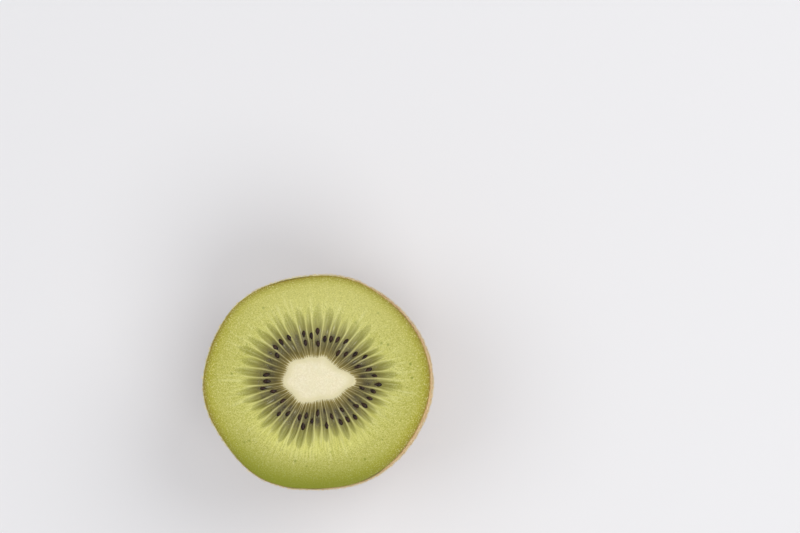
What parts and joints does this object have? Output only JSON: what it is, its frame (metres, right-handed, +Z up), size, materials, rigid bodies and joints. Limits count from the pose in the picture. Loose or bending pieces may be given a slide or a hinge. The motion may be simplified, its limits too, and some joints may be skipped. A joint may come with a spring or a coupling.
{
  "type": "kiwi fruit half",
  "caption": "Half of a kiwi fruit cut crosswise, resting on its stem end with the seed ring and pale core facing up.",
  "frame": {"origin": "middle of the base, on the surface that the half rests on", "axes": "+Z up through the cut face, +X along the cut's widest way across, -Z out of the flat spot that it rests on"},
  "size_m": [0.054, 0.0506, 0.0374],
  "materials": {
    "flesh": "moist green fruit flesh, slightly translucent",
    "core": "pale cream fruit core, slightly moist",
    "peel": "thin brown peel with short hairs",
    "seed": "glossy purple black seed"
  },
  "bodies": {
    "root": {"flesh": "flesh", "core": "core"}
  },
  "joints": []
}
